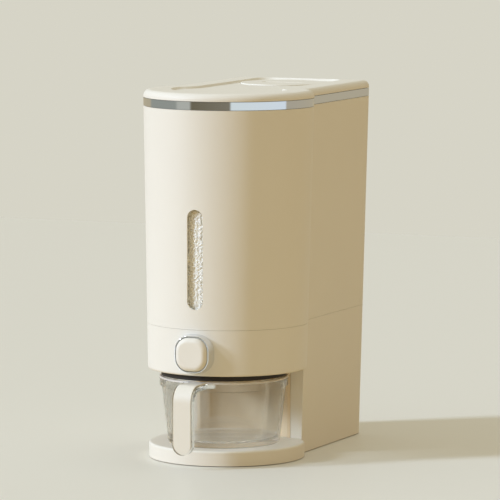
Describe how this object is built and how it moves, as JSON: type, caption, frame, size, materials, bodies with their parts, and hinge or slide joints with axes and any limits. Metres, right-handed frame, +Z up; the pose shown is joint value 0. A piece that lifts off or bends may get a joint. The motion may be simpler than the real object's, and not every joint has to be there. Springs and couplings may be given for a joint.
{
  "type": "rice dispenser",
  "caption": "Countertop rice dispenser: round-fronted plastic tank with hinged lid, front window and a push button that opens a gate over a clear measuring cup.",
  "frame": {"origin": "on the table, under the middle of the whole object's box", "axes": "+Z up, front with button, window and cup handle towards -Y, lid hinge at +Y"},
  "size_m": [0.1792, 0.328, 0.3795],
  "materials": {
    "cream": "fine matte moulded plastic, cream",
    "inlay": "smooth satin moulded plastic, cream",
    "bay": "fine matte moulded plastic, a little darker cream",
    "chrome": "bright chrome plating on plastic",
    "clear": "clear moulded styrene",
    "natural": "plain white moulded plastic",
    "silicone": "pale translucent silicone",
    "rubber": "dark soft rubber",
    "steel": "plain drawn steel"
  },
  "bodies": {
    "housing": {"base_tray": "cream", "base_feet": "rubber", "base_screws": "steel", "lower_shell": "cream", "bay_liner": "bay", "chute": "natural", "upper_shell": "cream", "hinge_pin": "steel", "window_lens": "clear", "window_gasket": "silicone", "trim_ring": "chrome", "hopper_funnel": "natural", "gate_housing": "natural", "return_springs": "steel", "button_bezel": "chrome", "spill_guard": "rubber"},
    "lid": {"lid_cover": "cream", "lid_liner": "natural", "lid_seal": "silicone", "desiccant_basket": "natural"},
    "cap": {"desiccant_cap": "cream"},
    "button": {"button_cap": "cream", "push_rod": "natural", "slide_gate": "natural"},
    "cup": {"measuring_cup": "clear", "handle_strap": "clear", "handle_inlay": "inlay"}
  },
  "joints": [
    {"name": "lid_hinge", "type": "hinge", "parent": "housing", "child": "lid", "pos_m": [0, 0.16, 0.3717], "axis": [-1, 0, 0], "range_deg": [0, 95]},
    {"name": "cap_lift", "type": "slide", "parent": "lid", "child": "cap", "axis": [0, 0, 1], "range_m": [0, 0.03]},
    {"name": "button_press", "type": "slide", "parent": "housing", "child": "button", "axis": [0, 1, 0], "range_m": [0, 0.01], "stiffness_N_per_m": 300, "springref_m": -0.004, "deforming": ["return_springs"]},
    {"name": "cup_pull", "type": "slide", "parent": "housing", "child": "cup", "axis": [0, -1, 0], "range_m": [0, 0.2]}
  ]
}
